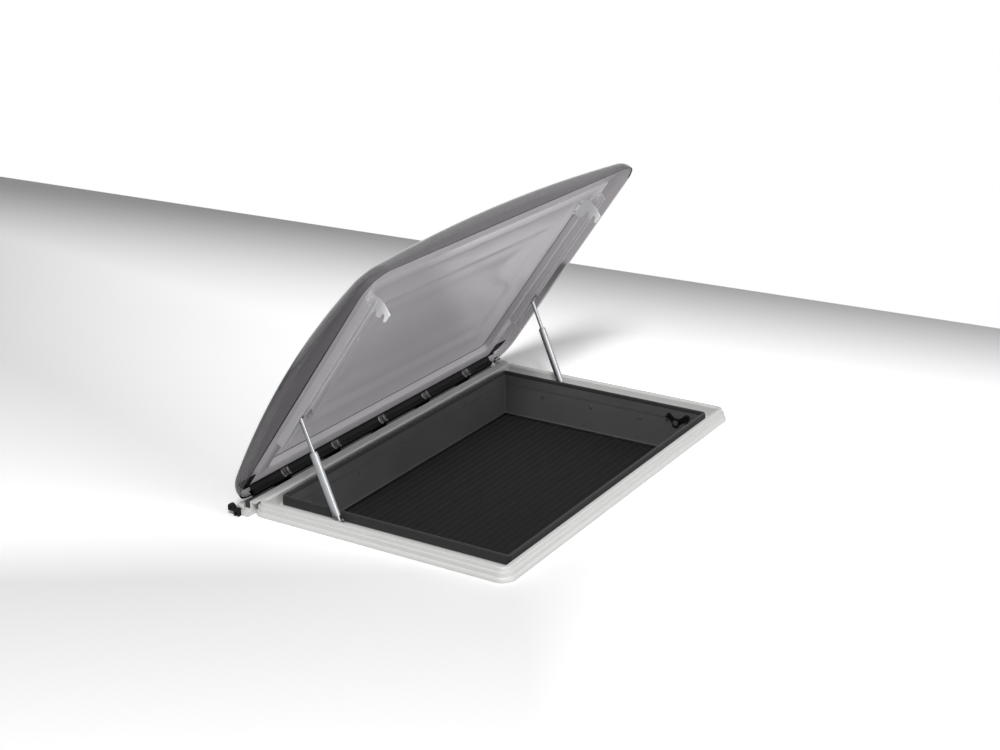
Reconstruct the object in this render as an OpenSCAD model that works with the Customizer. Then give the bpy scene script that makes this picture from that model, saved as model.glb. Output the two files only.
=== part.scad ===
// Caravan roof window: a tinted double dome on a long-side hinge, held open by two stays,
// on a white outer frame with a dark lined well, and an interior frame with two pleated blinds.
// X runs along the hinge, +Y is the hinge side, +Z is up. The origin is the centre of the
// opening on the bottom face of the interior trim.

/* [Roof] */
// Height of the roof skin above the bottom face of the trim
roof_z = 120; // [115:1:135]
// Thickness of the roof that the two frames clamp
roof_thick = 35; // [28:1:40]

/* [Outer frame] */
// Clear length inside the crest of the outer frame
open_len = 1030; // [960:5:1090]
// Clear width inside the crest of the outer frame
open_wid = 646; // [600:2:690]
// Height of the crest above the roof skin
crest_h = 32; // [30:0.5:34]
// Reach of the flange outside the clear opening
flange_w = 24; // [23:0.5:28]
// Corner radius of the clear opening
open_r = 8; // [6:1:14]
// Wall of the outer frame
frame_wall = 3; // [2.5:0.1:3.4]
// Thickness of the gutter floor
gutter_floor = 2.5; // [2:0.1:2.6]
// Width of the gutter at the two ends
gutter_x = 41.5; // [41:0.1:42]
// Width of the gutter along the two long sides
gutter_y = 14; // [12:0.5:18]
// Height of the skirt's upstand above the roof skin
upstand_h = 22; // [20:0.5:23]
// Width of the raised land between the crest and the hinge
hinge_land = 27.5; // [26:0.5:29]

/* [Seals and lining] */
// Height of the lid seal's crown above the roof skin
seal_h = 32.5; // [30:0.1:32.7]
// Thickness of the well lining
lining_t = 3.2; // [2.6:0.1:3.4]
// Height of the upper lining below the roof skin
lining_drop = 3; // [2:0.5:6]

/* [Interior frame] */
// Width of the interior trim
trim_w = 58; // [54:1:62]
// Thickness of the interior trim
trim_t = 8; // [6:0.5:9]
// Wall of the interior frame
inner_wall = 2.2; // [1.8:0.1:2.4]
// Radius of the four fixing holes
fix_r = 2.6; // [2.2:0.1:3.2]
// Depth of the blackout blind below the roof skin
blackout_drop = 98; // [96:0.5:100]
// Distance between the two blinds
blind_gap = 8; // [8:0.1:8.6]
// Depth of the moving bar of a blind
bar_depth = 18; // [14:1:22]
// Pitch of the pleats
pleat = 20; // [16:1:25]

/* [Lid] */
// Distance of the hinge axis behind the clear opening
hinge_back = 62; // [61:0.5:64]
// Height of the hinge axis above the roof skin
hinge_h = 20; // [19:0.5:21]
// Opening angle of the lid in the modelled position
lid_open = 55; // [40:1:60]
// Reach of the dome past the clear opening at each end
dome_over = 56.5; // [54:0.5:62]
// Reach of the dome past the clear opening at the free side
dome_front = 49; // [46:0.5:54]
// Wall of the dome
dome_t = 4; // [3:0.5:5]
// Depth of the dome's lip below the hinge axis
lip_drop = 5.5; // [4:0.5:6]
// Rise of the dome at its corners
dome_corner = 27; // [25:1:32]
// Extra rise of the dome along its middle
dome_rise = 30; // [24:1:36]
// Extra rise of the dome across its middle
dome_arch = 38; // [30:1:42]
// Corner radius of the dome in plan
dome_r = 64; // [58:1:70]
// Wall of the inner pane
pane_t = 3; // [2.5:0.1:3.4]
// Height of the pane's rim above the hinge axis
pane_h = 13; // [12.9:0.1:13.4]
// Rise of the pane's field above its rim
pane_step = 15; // [12:1:17]
// Width of the pane's rim
rim_w = 38; // [36:0.5:39]
// Distance of the dome's hinge wall in front of the hinge axis
dome_back = 15; // [14.6:0.1:15.6]

/* [Stays] */
// Distance of the stay's foot in front of the hinge axis
foot_back = 253; // [251:0.5:255]
// Height of the stay's foot above the roof skin
foot_h = 12; // [11.9:0.1:12.4]
// Place of the slider along the lid in the modelled position
slider_t = 278; // [276:0.5:280]
// Height of the slider above the hinge axis
slider_n = 2.5; // [2.4:0.1:2.7]
// Radius of the stay tube
tube_r = 9.5; // [8.5:0.1:9.5]
// Length of the stay from its foot to the top of the tube
tube_end = 166; // [140:1:172]
// Radius of the stay rod
rod_r = 4.8; // [4:0.1:5.2]
// Running clearance of pins and axles
run = 0.05; // [0.03:0.01:0.08]

/* [Latches] */
// Distance of the claw's closed notch from the free edge of the pane
notch_back = 83; // [79:1:88]
// Crank radius of the latch lever
latch_r = 28; // [26:1:29]
// Length of the latch lever's grip
grip_len = 36; // [28:1:44]
// Turn of the latch lever from released to locked
latch_turn = 50; // [45:1:52]

/* [Hidden] */
$fn = 48;
a = open_len / 2;
b = open_wid / 2;
gap = 0.3;
white = "#e6e6e4";
dark = "#3a3a3c";
black = "#141414";
tint = "#6c696d";
clear = "#b0adb1";
steel = "#c2c4c6";

// Outer frame and well
skirt_a = a - gutter_x;
skirt_b = b - gutter_y;
wall_a = skirt_a - frame_wall;
wall_b = skirt_b - frame_wall;
well_a = wall_a - gap - lining_t;
well_b = wall_b - gap - lining_t;
skirt_bottom = -roof_thick + 0.5;
roof_seal_t = 2.4;
seal_leg = 1.1;
seal_r = 3.6;
inner_face_a = wall_a - gap - inner_wall;
inner_face_b = wall_b - gap - inner_wall;
screw_z = -20;
screw_r = 2;
screw_x = [-380, -190, 0, 190, 380];
side_screw_y = [-120, 30, 180];

// Interior frame
plate_t = 3;
inner_outer_a = well_a + 3 + trim_w - 1;
inner_outer_b = well_b + 3 + trim_w - 1;
ledge_z = -88;
fix_x = inner_face_a + 32;
fix_y = inner_face_b + 31;
boss_r = 7;
trim_screw_x = [-450, -150, 150, 450];
trim_screw_y = fix_y + 14.5;
screw_seat = 1.7;
guide_a = inner_face_a + 3;
guide_w = 20;
slot_h = 3.2;
slot_d = 14;
fly_drop = blackout_drop + blind_gap;
bar_t = 7;
bar_y = inner_face_b - 6;
cassette_y = inner_face_b + 4;
cassette_d = 34;
cassette_wall = 2;
cassette_a = guide_a - 7;

// Lid
hinge_y = b + hinge_back;
dome_a = a + dome_over;
dome_t0 = dome_back;
dome_t1 = hinge_y + b + dome_front;
pane_a = a - 13;
pane_t0 = hinge_back - hinge_land - 4.5;
pane_t1 = hinge_y + skirt_b + 2;
step_w = 8;
field_r = 16;
field_n = pane_h + pane_step;
hinge_x = [-380, -190, 0, 190, 380];
hinge_half = a + 18;
ear_w = 19;
profile_half = pane_a - 1.5;
knuckle_r = 9;
knuckle_w = 28;
rod_radius = 4;
lug_w = 8;
plate_top = 8;
clamp_t = dome_t0 + dome_t + 1.3;
clamp_wall = 3.2;
plate_reach = 26;
web_top = pane_h - gap;
web_t1 = pane_t0 + 3.6;
web_t = 2.7;

// Stays and rails
rail_wall = 3.6;
rail_in = tube_r + 0.5;
rail_x = skirt_a + 2 * gap + seal_leg + rail_wall + rail_in;
rail_half = rail_in + rail_wall;
rail_t0 = pane_t0 + 156;
rail_t1 = pane_t1 - 41;
rail_screw_t = [rail_t0 + 30, (rail_t0 + rail_t1) / 2, rail_t1 - 30];
catch_t = slider_t + 4;
rail_low = slider_n - 7.5;
slider_r = 4;
groove_d = 2.4;
axle_r = 2.2;
foot_y = hinge_y - foot_back;
slide_y = hinge_y - slider_t * cos(lid_open) + slider_n * sin(lid_open);
slide_z = hinge_h + slider_t * sin(lid_open) + slider_n * cos(lid_open);
stay_len = norm([slide_y - foot_y, slide_z - foot_h]);
stay_angle = atan2(slide_z - foot_h, foot_y - slide_y);
cheek_t = 2.5;
cheek_half = rail_in - 0.8;
eye_half = cheek_half - cheek_t - 0.4;
eye_r = 6.5;
pin_r = 3;

// Latches
latch_pin_r = 3;
latch_n = -2.5;
notch_t = pane_t1 - notch_back;
latch_y = hinge_y - notch_t;
latch_z = hinge_h + latch_n - latch_r;
lever_x = well_a - 1;
lever_t = 5;
grip_rise = 31;
claw_x = pane_a - rim_w - step_w - 1.6;
claw_t = 4;
claw_screw_t = [notch_t - 16, notch_t + 12];
latch_axle_r = 4;

// Points of an arc about c from angle a0 to a1
function arc(c, r, a0, a1, n = 6) =
    [for (i = [0:n]) let (w = a0 + (a1 - a0) * i / n) c + r * [cos(w), sin(w)]];

// Rise of the dome's outer face above the hinge axis, with the lip at the foot of its wall
function bulge(x, t) = let (u = x / dome_a, v = 2 * (t - dome_t0) / (dome_t1 - dome_t0) - 1,
    p = max(0, 1 - u * u), q = max(0, 1 - v * v)) dome_corner + dome_rise * p + dome_arch * q - 20 * p * q;
// Share of the full rise at a distance inside the lip, a quarter of a superellipse
function shoulder(e) = let (k = 1 - min(1, e / 34)) pow(1 - pow(k, 2.4), 1 / 2.4);
function inset(x, t) = let (ex = dome_a - abs(x), et = min(t - dome_t0, dome_t1 - t),
    cx = dome_r - ex, ct = dome_r - et)
    (cx > 0 && ct > 0) ? dome_r - norm([cx, ct]) : min(ex, et);
function dome_out(x, t) = -lip_drop + bulge(x, t) * shoulder(max(0, inset(x, t)));
function dome_in(x, t) = -lip_drop + (bulge(x, t) - dome_t) * shoulder(max(0, inset(x, t) - dome_t));

// Points of a rounded rectangle in plan, from its half length and its two edges along the lid
function outline(ha, t0, t1, r, nx, nt, nc) =
    let (cx = ha - r, m = (t0 + t1) / 2, ct = (t1 - t0) / 2 - r) concat(
    [for (i = [0:nt - 1]) [ha, m + ct * (2 * i / nt - 1)]],
    [for (i = [0:nc - 1]) [cx, m + ct] + r * [cos(90 * i / nc), sin(90 * i / nc)]],
    [for (i = [0:nx - 1]) [cx * (1 - 2 * i / nx), t1]],
    [for (i = [0:nc - 1]) [-cx, m + ct] + r * [-sin(90 * i / nc), cos(90 * i / nc)]],
    [for (i = [0:nt - 1]) [-ha, m + ct * (1 - 2 * i / nt)]],
    [for (i = [0:nc - 1]) [-cx, m - ct] + r * [-cos(90 * i / nc), -sin(90 * i / nc)]],
    [for (i = [0:nx - 1]) [cx * (2 * i / nx - 1), t0]],
    [for (i = [0:nc - 1]) [cx, m - ct] + r * [sin(90 * i / nc), -cos(90 * i / nc)]]);
// Closed skin through rings of equal count, with a point at each end
module skin(rings, first, last) {
    n = len(rings[0]);
    m = len(rings);
    points = concat([first], [for (r = rings) each r], [last]);
    faces = concat(
        [for (i = [0:n - 1]) [0, 1 + i, 1 + (i + 1) % n]],
        [for (k = [0:m - 2], i = [0:n - 1]) [1 + k * n + (i + 1) % n, 1 + k * n + i, 1 + (k + 1) * n + i]],
        [for (k = [0:m - 2], i = [0:n - 1]) [1 + (k + 1) * n + (i + 1) % n, 1 + k * n + (i + 1) % n,
            1 + (k + 1) * n + i]],
        [for (i = [0:n - 1]) [1 + (m - 1) * n + (i + 1) % n, 1 + (m - 1) * n + i, 1 + m * n]]);
    polyhedron(points, faces, convexity = 6);
}

module rounded(ha, hb, r) {
    square([2 * ha, 2 * (hb - r)], center = true);
    square([2 * (ha - r), 2 * hb], center = true);
    for (x = [-1, 1], y = [-1, 1]) translate([x * (ha - r), y * (hb - r)]) circle(r);
}
// Flat ring between two rounded rectangles, from height z0 to z1 over the roof skin
module band(ha, hb, r, ia, ib, ir, z0, z1) {
    translate([0, 0, z0]) linear_extrude(z1 - z0) difference() {
        rounded(ha, hb, r);
        rounded(ia, ib, ir);
    }
}
// A profile carried round a rounded rectangle, its first axis pointing outwards
module swept(ha, hb, r) {
    for (y = [0, 1]) mirror([0, y, 0]) translate([0, hb, 0]) rotate([90, 0, 90])
        linear_extrude(2 * (ha - r), center = true) children();
    for (x = [0, 1]) mirror([x, 0, 0]) translate([ha, 0, 0]) rotate([90, 0, 0])
        linear_extrude(2 * (hb - r), center = true) children();
    for (x = [0, 1], y = [0, 1]) mirror([x, 0, 0]) mirror([0, y, 0]) translate([ha - r, hb - r, 0])
        rotate_extrude(angle = 90) translate([r, 0]) children();
}
module above_roof() { translate([0, 0, roof_z]) children(); }
// Lid pieces are drawn closed, with t towards -Y and n upwards from the hinge axis
module on_lid() {
    above_roof() translate([0, hinge_y, hinge_h]) rotate([-lid_open, 0, 0]) children();
}
// Turns a profile in (t, n) into a plate of width w centred on x
module side_plate(x, w) {
    translate([x, 0, 0]) rotate([90, 0, -90]) linear_extrude(w, center = true) children();
}
module x_rod(x0, x1, y, z, r) { translate([x0, y, z]) rotate([0, 90, 0]) cylinder(r = r, h = x1 - x0); }
module sides() { for (m = [0, 1]) mirror([m, 0, 0]) children(); }

module crest_profile() {
    difference() {
        polygon(concat([[0, 0]], arc([5, crest_h - 5], 5, 180, 90),
            [[12, crest_h], [13.6, crest_h - 2], [14.2, crest_h - 9.5], [15.5, crest_h - 10.6]],
            arc([17.4, crest_h - 13], 2.6, 120, 40, 3), arc([flange_w - 9, 4], 9, 60, 0, 5),
            [[flange_w, 0]]));
        polygon([[frame_wall, -1], [frame_wall, crest_h - 6], [6, crest_h - 3], [10.2, crest_h - 3],
            [11, crest_h - 4], [11.2, crest_h - 12], [13, crest_h - 13.5], [16.4, crest_h - 13.8],
            [16.4, 12], [flange_w - 4.6, 7], [flange_w - 3.4, 3], [flange_w - 3.4, -1]]);
    }
}

module outer_frame() {
    under = roof_seal_t + gap;
    floor_y = b + flange_w - 3.4;
    color(white) above_roof() difference() {
        union() {
            difference() {
                swept(a, b, open_r) crest_profile();
                translate([-hinge_half - gap, b + hinge_land, 5])
                    cube([2 * (hinge_half + gap), 60, crest_h]);
            }
            band(a + 2, b + 2, open_r + 2, wall_a, wall_b, 5, 0, gutter_floor);
            band(skirt_a, skirt_b, 8, wall_a, wall_b, 5, skirt_bottom, upstand_h);
            translate([-a - 20, b + 11, crest_h - 3]) cube([open_len + 40, hinge_land - 11, 3]);
            translate([-a - 20, b + hinge_land - 3, under]) cube([open_len + 40, 3, crest_h - under]);
            translate([-a - 20, b + hinge_land - 3, under])
                cube([open_len + 40, hinge_back + 22 - hinge_land, 5 - under]);
            translate([-a - 20, floor_y, 0]) cube([open_len + 40, hinge_y + 19 - floor_y, 5]);
            sides() ear(under, floor_y);
        }
        frame_bores(wall_a - 1, skirt_a + 1, wall_b - 1, skirt_b + 1);
    }
}
// Raised block beside the hinge, with an oval recess in its outer face
module ear(under, floor_y) {
    x0 = hinge_half + gap;
    y0 = b + hinge_land;
    difference() {
        union() {
            translate([x0, y0, under]) cube([ear_w, 25, 26 - under]);
            translate([x0, floor_y, 0]) cube([ear_w, 30, 9]);
        }
        for (y = [13, 18]) x_rod(x0 + ear_w - 3, x0 + ear_w + 1, y0 + y, 16, 4.5);
        translate([dome_a - dome_r, hinge_y - dome_t0 - dome_r, hinge_h - lip_drop - 1])
            cylinder(r = dome_r + 1.2, h = 30);
    }
}
// Bores for the screws that join the interior frame to the skirt
module frame_bores(x0, x1, y0, y1) {
    sides() for (y = side_screw_y) x_rod(x0, x1, y, screw_z, screw_r);
    for (x = screw_x, m = [0, 1]) mirror([0, m, 0]) translate([x, y0, screw_z]) rotate([-90, 0, 0])
        cylinder(r = screw_r, h = y1 - y0);
}
module roof_seal() {
    edge = flange_w - 3.4 - gap;
    color(black) above_roof() band(a + edge, b + edge, open_r + edge,
        a + frame_wall + gap, b + frame_wall + gap, open_r + frame_wall, 0, roof_seal_t);
}
module lid_seal() {
    outer = gap + seal_leg;
    web = upstand_h + 3;
    off = seal_r + 0.2;
    color(black) above_roof() {
        band(skirt_a + outer, skirt_b + outer, 9, skirt_a + gap, skirt_b + gap, 8, 10, upstand_h + gap);
        band(skirt_a + outer, skirt_b + outer, 9, well_a, well_b, 3, upstand_h + gap, web);
        swept(well_a + off, well_b + off, 3 + off) difference() {
            union() {
                translate([0, seal_h - seal_r]) circle(seal_r);
                translate([-seal_r, web - 1]) square([2 * seal_r, seal_h - seal_r - web + 1]);
            }
            translate([0, seal_h - seal_r]) circle(seal_r - 1.6);
        }
    }
}
module upper_lining() {
    color(dark) above_roof() {
        band(wall_a - gap, wall_b - gap, 5, well_a, well_b, 3, -lining_drop, upstand_h);
        for (x = [-300, 300], y = [-1, 1])
            translate([x, y * (well_b - 0.6), 6]) cube([60, 1.6, 12], center = true);
    }
}
module inner_frame() {
    color(dark) above_roof() difference() {
        union() {
            band(wall_a - gap, wall_b - gap, 5, inner_face_a, inner_face_b, 4, ledge_z, -lining_drop - gap);
            band(inner_face_a + 1, inner_face_b + 1, 4, inner_face_a - 3, inner_face_b - 3, 2,
                ledge_z - 2, ledge_z);
            band(inner_outer_a, inner_outer_b, 30, inner_face_a + 1, inner_face_b + 1, 4,
                -roof_thick - plate_t, -roof_thick - 1);
            band(inner_outer_a, inner_outer_b, 30, skirt_a + 2, skirt_b + 2, 10,
                -roof_thick - 1.5, -roof_thick);
            band(inner_outer_a, inner_outer_b, 30, inner_outer_a - 2.5, inner_outer_b - 2.5, 27.5,
                -roof_z + trim_t, -roof_thick);
            sides() for (y = [-1, 1]) translate([fix_x, y * fix_y, -roof_z + trim_t])
                cylinder(r = boss_r, h = roof_z - trim_t - roof_thick);
            for (x = trim_screw_x, y = [-1, 1]) translate([x, y * trim_screw_y, -roof_z + trim_t])
                cylinder(r = 5, h = roof_z - trim_t - roof_thick);
            sides() for (y = [-210, -70, 70, 210]) translate([inner_face_a + 1, y - 1.2, ledge_z - 2])
                cube([inner_outer_a - inner_face_a - 2, 2.4, -ledge_z - roof_thick - plate_t + 3]);
            for (x = [-400, -200, 0, 200, 400], y = [0, 1]) mirror([0, y, 0])
                translate([x - 1.2, inner_face_b + 1, ledge_z])
                    cube([2.4, inner_outer_b - inner_face_b - 2, 50]);
        }
        sides() for (y = [-1, 1]) translate([fix_x, y * fix_y, -roof_z]) cylinder(r = fix_r, h = roof_z);
        for (x = trim_screw_x, y = [-1, 1]) translate([x, y * trim_screw_y, -roof_z])
            cylinder(r = 1.6, h = trim_t + 20);
        frame_bores(inner_face_a - 1, wall_a + 1, inner_face_b - 1, wall_b + 1);
        sides() x_rod(inner_face_a - 1, wall_a + 1, latch_y, latch_z, 2.6);
    }
}
module interior_trim() {
    color(white) above_roof() translate([0, 0, -roof_z]) difference() {
        swept(well_a + 3, well_b + 3, 6) difference() {
            polygon(concat([[0, 3]], arc([3, 3], 3, 180, 270, 4), arc([trim_w - 5, 5], 5, 270, 360, 5),
                [[trim_w, trim_t], [0, trim_t]]));
            translate([5, 3]) square([trim_w - 10, trim_t]);
        }
        sides() for (y = [-1, 1]) translate([fix_x, y * fix_y, -1]) cylinder(r = fix_r, h = 20);
        for (x = trim_screw_x, y = [-1, 1]) translate([x, y * trim_screw_y, -1]) {
            cylinder(r = 1.6, h = 12);
            cylinder(r = 3.2 + gap, h = 1 + screw_seat);
        }
    }
}
module frame_screws() {
    color(steel) above_roof() {
        sides() for (y = side_screw_y) {
            x_rod(inner_face_a - gap, skirt_a - 0.2, y, screw_z, screw_r - run);
            x_rod(inner_face_a - 2.2, inner_face_a - 0.05, y, screw_z, 4);
        }
        for (x = screw_x, y = [0, 1]) mirror([0, y, 0])
            translate([x, inner_face_b, screw_z]) rotate([-90, 0, 0]) {
                translate([0, 0, -0.3]) cylinder(r = screw_r - run, h = skirt_b - inner_face_b);
                translate([0, 0, -2.2]) cylinder(r = 4, h = 2.15);
            }
    }
}
module trim_screws() {
    color(steel) above_roof() for (x = trim_screw_x, y = [-1, 1])
        translate([x, y * trim_screw_y, -roof_z + screw_seat]) {
            translate([0, 0, -1.5]) cylinder(r = 3.2, h = 1.45);
            translate([0, 0, -0.1]) cylinder(r = 1.6 - run, h = 22);
        }
}

module guide() {
    color(steel) above_roof() difference() {
        translate([guide_a, -inner_face_b + 2, -roof_z + trim_t + 0.3])
            cube([guide_w, 2 * inner_face_b - 4, roof_z - trim_t + ledge_z - 2.6]);
        for (z = [blackout_drop, fly_drop]) translate([guide_a - 1, -inner_face_b, -z - slot_h / 2])
            cube([slot_d + 1, 2 * inner_face_b, slot_h]);
    }
}
module blind_guide_left() { mirror([1, 0, 0]) guide(); }
module blind_guide_right() { guide(); }

// Housing that takes a folded blind, open towards the well on the level of its own fabric
module cassette(slot_z) {
    low = -roof_z + trim_t + 0.3;
    high = ledge_z - 2.3;
    rotate([90, 0, 90]) linear_extrude(2 * cassette_a, center = true) difference() {
        translate([cassette_y, low]) square([cassette_d, high - low]);
        translate([cassette_y + cassette_wall, low + cassette_wall])
            square([cassette_d - 2 * cassette_wall, high - low - 2 * cassette_wall]);
        translate([cassette_y - 1, slot_z - 2]) square([cassette_wall + 2, 4]);
    }
}
module blackout_cassette() { color(dark) above_roof() cassette(-blackout_drop); }
module flyscreen_cassette() { color(dark) above_roof() mirror([0, 1, 0]) cassette(-fly_drop); }

// Zigzag cloth from y0 to y1 at height z, its folds along X
module pleated(y0, y1, z, rise) {
    n = ceil((y1 - y0) / pleat) * 2;
    function at(i, s) = [y0 + (y1 - y0) * i / n, z + (i % 2 == 0 ? -rise : rise) + s * 0.35];
    rotate([90, 0, 90]) linear_extrude(2 * (guide_a + slot_d - 3), center = true)
        polygon(concat([for (i = [0:n]) at(i, -1)], [for (i = [n:-1:0]) at(i, 1)]));
}
module blackout_fabric() {
    color(black) above_roof() pleated(-bar_y + bar_depth / 2 + gap, cassette_y + 14, -blackout_drop, 0.8);
}
module flyscreen_net() {
    color("#8a8a8a") above_roof() mirror([0, 1, 0])
        pleated(-bar_y + bar_depth / 2 + gap, cassette_y + 14, -fly_drop, 0.8);
}
// Moving bar with a runner at each end, and a finger lip along its lower front edge
module bar(z, grip) {
    r = 2.4;
    rotate([90, 0, 90]) linear_extrude(2 * (guide_a - 1.2), center = true) {
        translate([-bar_depth / 2, z - bar_t / 2 + r]) square([bar_depth, bar_t - 2 * r]);
        translate([-bar_depth / 2 + r, z - bar_t / 2]) square([bar_depth - 2 * r, bar_t]);
        for (x = [-1, 1], y = [-1, 1])
            translate([x * (bar_depth / 2 - r), z + y * (bar_t / 2 - r)]) circle(r);
    }
    sides() translate([guide_a - 2, -6, z - 1.1]) cube([slot_d - 1, 12, 2.2]);
    if (grip) translate([-60, -bar_depth / 2, z - bar_t / 2 - 1.6]) cube([120, 4, 2.6]);
}
module blackout_bar() { color(black) above_roof() translate([0, -bar_y, 0]) bar(-blackout_drop, false); }
module flyscreen_bar() {
    color(white) above_roof() mirror([0, 1, 0]) translate([0, -bar_y, 0]) bar(-fly_drop, true);
}

// Hinge: a black base with lugs, one rod, and a profile that clamps the dome's hinge wall
module lug_profile(low) {
    circle(knuckle_r);
    translate([-knuckle_r, low]) square([2 * knuckle_r, -low]);
}
module hinge_base() {
    y0 = b + hinge_land + gap;
    color(black) above_roof() difference() {
        union() {
            translate([-hinge_half, y0, 5]) cube([2 * hinge_half, hinge_y + 13 - y0, plate_top - 5]);
            translate([-hinge_half, y0, 5]) cube([2 * hinge_half, 3, crest_h - 7.6]);
            for (x = hinge_x, s = [-1, 1])
                translate([x + s * (knuckle_w / 2 + 1 + lug_w / 2), hinge_y, hinge_h]) rotate([90, 0, 90])
                    linear_extrude(lug_w, center = true) lug_profile(plate_top - 2 - hinge_h);
        }
        x_rod(-hinge_half - 1, hinge_half + 1, hinge_y, hinge_h, rod_radius + run);
        for (x = [-285, -95, 95, 285]) translate([x, hinge_y, 0]) cylinder(r = 2.2, h = 12);
    }
}
module hinge_rod() {
    color(steel) above_roof() x_rod(-hinge_x[4] - 30, hinge_x[4] + 30, hinge_y, hinge_h, rod_radius);
}
module hinge_end_caps() {
    cap_x = hinge_half + ear_w + 2 * gap;
    color(black) above_roof() sides() translate([cap_x, hinge_y, 0]) rotate([90, 0, 90])
        linear_extrude(9) difference() {
            union() {
                translate([-22, 11]) square([31, 8]);
                translate([-9, 11]) square([18, 10]);
                translate([0, hinge_h]) circle(9);
                translate([-13, 1]) square([6, 12]);
                translate([-22, 1]) square([4.5, 14]);
            }
            translate([0, hinge_h]) circle(3);
        }
}
// Profile along the hinge: it grips the dome's wall from both sides and carries the pane's edge
module clamp_profile() {
    low = plate_top + 2 - hinge_h;
    inner = clamp_t + clamp_wall;
    polygon([[dome_t0 - 3.5, low], [inner, low], [inner, 2], [clamp_t + 8.7, web_top - web_t],
        [web_t1, web_top - web_t], [web_t1, web_top], [clamp_t + 7.2, web_top],
        [clamp_t + 3.6, web_top - 4.5], [clamp_t, 3], [clamp_t, -lip_drop - gap],
        [dome_t0 - gap, -lip_drop - gap], [dome_t0 - gap, 7], [dome_t0 - 3.5, 7]]);
}
module hinge_profile() {
    color(black) on_lid() difference() {
        union() {
            side_plate(0, 2 * profile_half) clamp_profile();
            for (x = hinge_x) side_plate(x, knuckle_w) {
                circle(knuckle_r);
                translate([0, -6]) square([dome_t0 - 3, 12]);
            }
            sides() corner_plate();
        }
        x_rod(-hinge_half, hinge_half, 0, 0, rod_radius + run);
    }
}
// Closes the dome's corner beside the pane: a tongue on the profile's web, and a plate over the crest
module corner_plate() {
    edge = dome_t + 11;
    translate([profile_half - 2, -web_t1, web_top - web_t])
        cube([plate_reach, web_t1 - pane_t0, web_t]);
    translate([0, 0, web_top - 0.3]) linear_extrude(web_t) intersection() {
        translate([dome_a - dome_r, -dome_t0 - dome_r]) circle(dome_r - edge);
        translate([pane_a + 1, -pane_t0 - 40]) square([60, 40]);
    }
}
// Clear hooks on the profile's inner face, a saddle with two ribs each
module pane_clips() {
    t0 = clamp_t + clamp_wall + 0.2;
    n0 = web_top - web_t - 0.2;
    color(clear) on_lid() for (x = hinge_x) {
        side_plate(x, 24) polygon([[t0, -8], [t0, 1.8], [t0 + 5.4, n0], [t0 + 7, n0], [t0 + 7, n0 - 1.6],
            [t0 + 6, n0 - 1.6], [t0 + 1.4, 1.4], [t0 + 1.4, -8]]);
        for (s = [-1, 1]) side_plate(x + s * 9, 2.6) polygon([[t0 + 1.2, -10], [t0 + 4.2, -8],
            [t0 + 7, -1], [t0 + 7, n0 - 1.4], [t0 + 5.8, n0 - 1.4], [t0 + 1.2, 1.6]]);
    }
}

// Dome and pane
module outer_dome() {
    nx = 14;
    nt = 10;
    nc = 6;
    function at(e) = outline(dome_a - e, dome_t0 + e, dome_t1 - e, max(8, dome_r - e), nx, nt, nc);
    function ring_out(e) = [for (p = at(e)) [p[0], -p[1], dome_out(p[0], p[1])]];
    function ring_in(e) = [for (p = at(e)) [p[0], -p[1], e <= dome_t ? -lip_drop : dome_in(p[0], p[1])]];
    steps = [0.01, 0.6, 2.5, 6, 12, 21, 34, 80, 150, 230, 310];
    mid = (dome_t0 + dome_t1) / 2;
    color(tint) on_lid() skin(concat([for (i = [len(steps) - 1:-1:0]) ring_out(steps[i])],
        [ring_in(0.01)], [for (i = [0:len(steps) - 1]) ring_in(dome_t + steps[i])]),
        [0, -mid, dome_out(0, mid)], [0, -mid, dome_in(0, mid)]);
}
module inner_pane() {
    nx = 12;
    nt = 8;
    nc = 5;
    edge = rim_w + step_w;
    top = field_n + pane_t;
    function at(e, r) = outline(pane_a - e, pane_t0 + e, pane_t1 - e, r, nx, nt, nc);
    function flat(e, n, r) = [for (p = at(e, r)) [p[0], -p[1], n]];
    function under_dome(e, r) = [for (p = at(e, r)) [p[0], -p[1], dome_in(p[0], p[1]) - 0.9]];
    mid = (pane_t0 + pane_t1) / 2;
    color(clear) on_lid() skin([flat(250, top + 15, 20), flat(166, top + 10, 40), flat(138, top + 8, 40),
        flat(128, top, 40), flat(edge + 2, top, field_r), flat(rim_w - 1, pane_h + pane_t, field_r),
        flat(pane_t, pane_h + pane_t, 8), under_dome(pane_t, 8), under_dome(0, 10), flat(0, pane_h, 10),
        flat(rim_w, pane_h, field_r), flat(edge, field_n, field_r), flat(130, field_n, 38),
        flat(140, field_n + 8, 38), flat(166, field_n + 10, 38), flat(250, field_n + 15, 20)],
        [0, -mid, top + 16], [0, -mid, field_n + 16]);
}
// Bead of sealant along the border of the pane's field
module glazing_bead() {
    e = rim_w + step_w + 0.3;
    half = (pane_t1 - pane_t0) / 2;
    color(black) on_lid() translate([0, -(pane_t0 + pane_t1) / 2, field_n - gap / 2 - 1]) linear_extrude(1)
        difference() {
            rounded(pane_a - e, half - e, field_r - gap);
            rounded(pane_a - e - 1.2, half - e - 1.2, field_r - 1.4);
        }
}

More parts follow.
